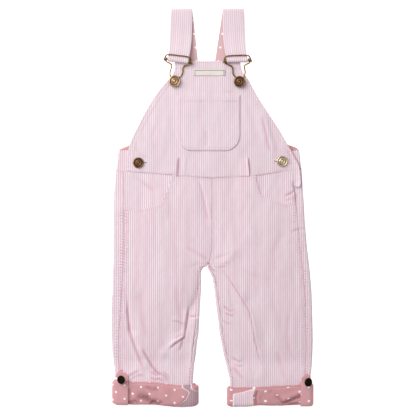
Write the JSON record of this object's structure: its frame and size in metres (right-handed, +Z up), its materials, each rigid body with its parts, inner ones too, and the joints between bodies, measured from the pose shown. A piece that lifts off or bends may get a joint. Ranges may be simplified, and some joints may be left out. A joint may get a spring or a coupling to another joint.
{
  "type": "kids bib overalls",
  "caption": "Child's bib overalls laid flat: bib with round patch pocket, buckled straps, scooped hip pockets, side-buttoned waist, straight legs with lined turn-up cuffs and button tabs",
  "frame": {"origin": "on the surface that the garment lies on, below the middle of its bounding box", "axes": "+X to the wearer's left as the front is looked at from above, so to the viewer's right; +Y from the cuffs to the straps; +Z up, out of the front of the cloth"},
  "size_m": [0.3033, 0.5969, 0.0246],
  "materials": {
    "striped_cotton": "matt cotton twill with narrow pale pink and white stripes along the grain",
    "dotted_lining": "matt dusty pink cotton lining with small white dots",
    "antique_brass": "darkened brass, stamped rings, bright on the rims",
    "label_ribbon": "bare woven ribbon with a thin grey-green border"
  },
  "bodies": {
    "root": {"bib": "striped_cotton", "bib_pocket": "striped_cotton", "label": "label_ribbon", "belt_loop_left": "striped_cotton", "belt_loop_right": "striped_cotton", "back_bib": "striped_cotton", "leg_front_left": "striped_cotton", "leg_back_left": "striped_cotton", "pocket_facing_left": "striped_cotton", "side_placket_left": "striped_cotton", "cuff_left": "dotted_lining", "cuff_tab_left": "dotted_lining", "strap_left": "striped_cotton", "buckle_left": "antique_brass", "bib_button_left": "antique_brass", "side_button_left": "antique_brass", "cuff_button_left": "antique_brass", "leg_front_right": "striped_cotton", "leg_back_right": "striped_cotton", "pocket_facing_right": "striped_cotton", "side_placket_right": "striped_cotton", "cuff_right": "dotted_lining", "cuff_tab_right": "dotted_lining", "strap_right": "striped_cotton", "buckle_right": "antique_brass", "bib_button_right": "antique_brass", "side_button_right": "antique_brass", "cuff_button_right": "antique_brass"}
  },
  "joints": []
}
